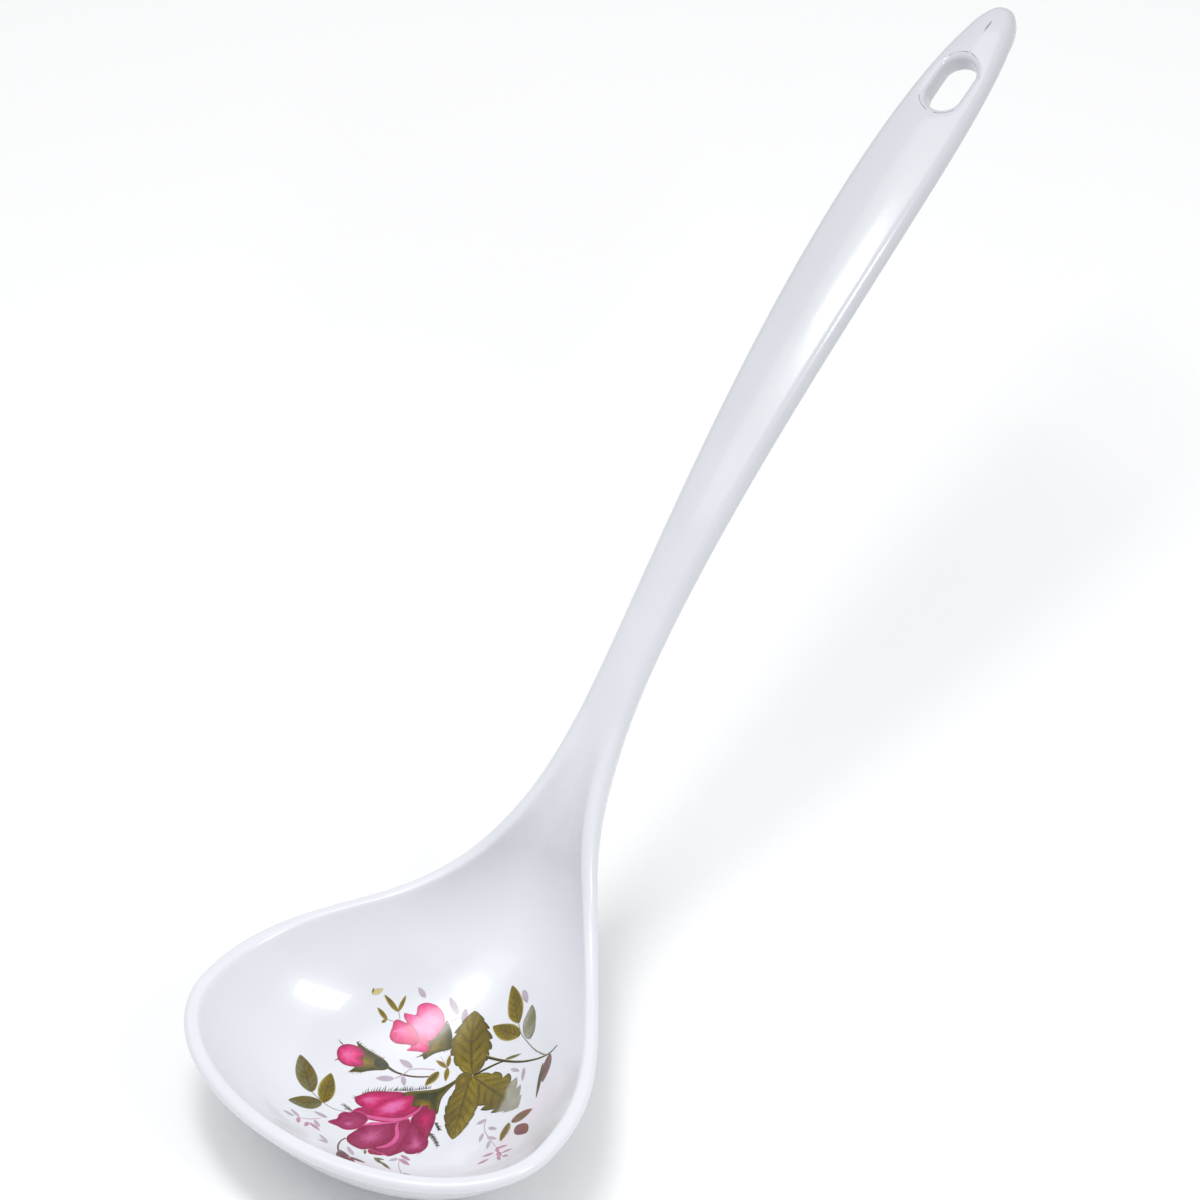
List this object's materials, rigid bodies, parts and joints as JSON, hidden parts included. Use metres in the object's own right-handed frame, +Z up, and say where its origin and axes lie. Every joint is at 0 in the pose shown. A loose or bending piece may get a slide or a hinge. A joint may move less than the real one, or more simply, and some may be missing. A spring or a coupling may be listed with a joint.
{
  "type": "soup ladle",
  "caption": "White moulded soup ladle with a broad bowl, an arched handle with a hanging slot, and a glazed floral decal in the bowl.",
  "frame": {"origin": "on the level of the bowl's lowest point, under the middle of the overall length", "axes": "+Z up with the bowl's rim level, +X from the bowl along the handle, +Y across the bowl"},
  "size_m": [0.2596, 0.09, 0.1402],
  "materials": {
    "white_melamine": "high gloss, moulded",
    "printed_decal": "printed flowers under gloss",
    "clear_glaze": "clear, high gloss"
  },
  "bodies": {
    "root": {"ladle_body": "white_melamine", "decal_foil": "printed_decal", "glaze_coat": "clear_glaze"}
  },
  "joints": []
}
